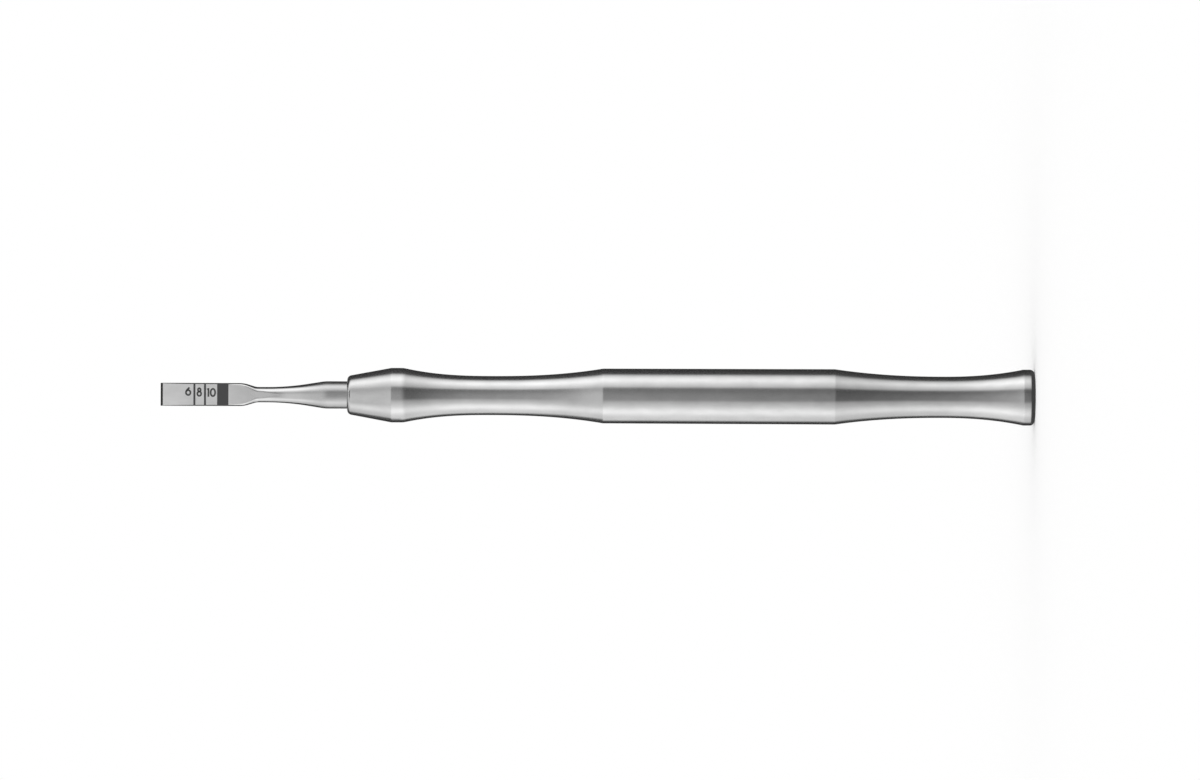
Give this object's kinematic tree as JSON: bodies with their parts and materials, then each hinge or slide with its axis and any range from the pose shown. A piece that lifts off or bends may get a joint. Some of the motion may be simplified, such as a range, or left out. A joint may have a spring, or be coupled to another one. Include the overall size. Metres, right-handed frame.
{
  "type": "osteotome",
  "caption": "Slim steel osteotome: flat ground chisel blade with depth marks, round flared neck, and a solid turned handle with two waists and a striking face.",
  "frame": {"origin": "centre of the flat striking face at the handle's end, which the part stands on", "axes": "+Z along the turned axis from the striking face to the cutting edge, X across the blade's width, the blade's two faces look along -Y and +Y"},
  "size_m": [0.01, 0.01, 0.156],
  "materials": {
    "handle_steel": "satin, fine turning lines",
    "blade_steel": "satin, finely ground faces, dark laser depth marks"
  },
  "bodies": {
    "root": {"handle": "handle_steel", "working_end": "blade_steel"}
  },
  "joints": []
}
